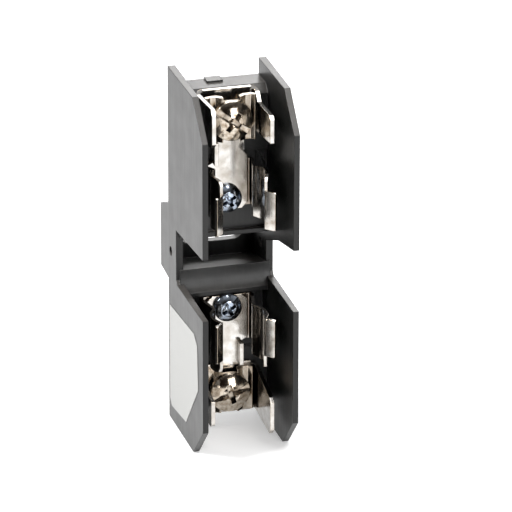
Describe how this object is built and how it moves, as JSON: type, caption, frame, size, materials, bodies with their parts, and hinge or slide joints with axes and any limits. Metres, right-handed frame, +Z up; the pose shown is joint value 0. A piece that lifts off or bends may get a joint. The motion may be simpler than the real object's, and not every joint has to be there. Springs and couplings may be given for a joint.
{
  "type": "cartridge fuse block",
  "caption": "Open one-pole fuse block: black moulding with side barriers, spring clips that grip a ferrule fuse, and a screw terminal with a clamping plate at each end.",
  "frame": {"origin": "middle of the mounting slot, on the rear face that lies on the panel", "axes": "+Z up along the fuse, -Y out of the panel to the front, +X to the right seen from the front"},
  "size_m": [0.0277, 0.0434, 0.1036],
  "materials": {
    "moulded_housing": "black moulded phenolic, satin grain",
    "plated_strip": "bright tin-nickel plated copper alloy",
    "zinc_screw": "bright zinc plate, clear blue passivate",
    "plated_screw": "nickel plate",
    "label_film": "matt white film, blank"
  },
  "bodies": {
    "block": {"housing": "moulded_housing", "identification_label": "label_film", "upper_fuse_clip": "plated_strip", "upper_contact_strap": "plated_strip", "upper_clip_screw": "zinc_screw", "upper_clip_nut": "zinc_screw", "upper_terminal_nut": "plated_screw", "lower_fuse_clip": "plated_strip", "lower_contact_strap": "plated_strip", "lower_clip_screw": "zinc_screw", "lower_clip_nut": "zinc_screw", "lower_terminal_nut": "plated_screw"},
    "upper_clamp": {"upper_pressure_plate": "plated_strip"},
    "upper_driver": {"upper_terminal_screw": "plated_screw"},
    "lower_clamp": {"lower_pressure_plate": "plated_strip"},
    "lower_driver": {"lower_terminal_screw": "plated_screw"}
  },
  "joints": [
    {"name": "upper_clamp_travel", "type": "slide", "parent": "block", "child": "upper_clamp", "axis": [0, -1, 0], "range_m": [-0.0022, 0.0008]},
    {"name": "upper_screw_turn", "type": "hinge", "parent": "upper_clamp", "child": "upper_driver", "pos_m": [0, -0.024, 0.0404], "axis": [0, -1, 0], "range_deg": [-999.5, 364.7]},
    {"name": "lower_clamp_travel", "type": "slide", "parent": "block", "child": "lower_clamp", "axis": [0, -1, 0], "range_m": [0, 0.003]},
    {"name": "lower_screw_turn", "type": "hinge", "parent": "lower_clamp", "child": "lower_driver", "pos_m": [0, -0.024, -0.0404], "axis": [0, -1, 0], "range_deg": [-2, 1362.2]}
  ],
  "couplings": [
    {"joint": "upper_screw_turn", "follows": "upper_clamp_travel", "rad_per_m": 7913.3},
    {"joint": "lower_screw_turn", "follows": "lower_clamp_travel", "rad_per_m": 7913.3}
  ]
}
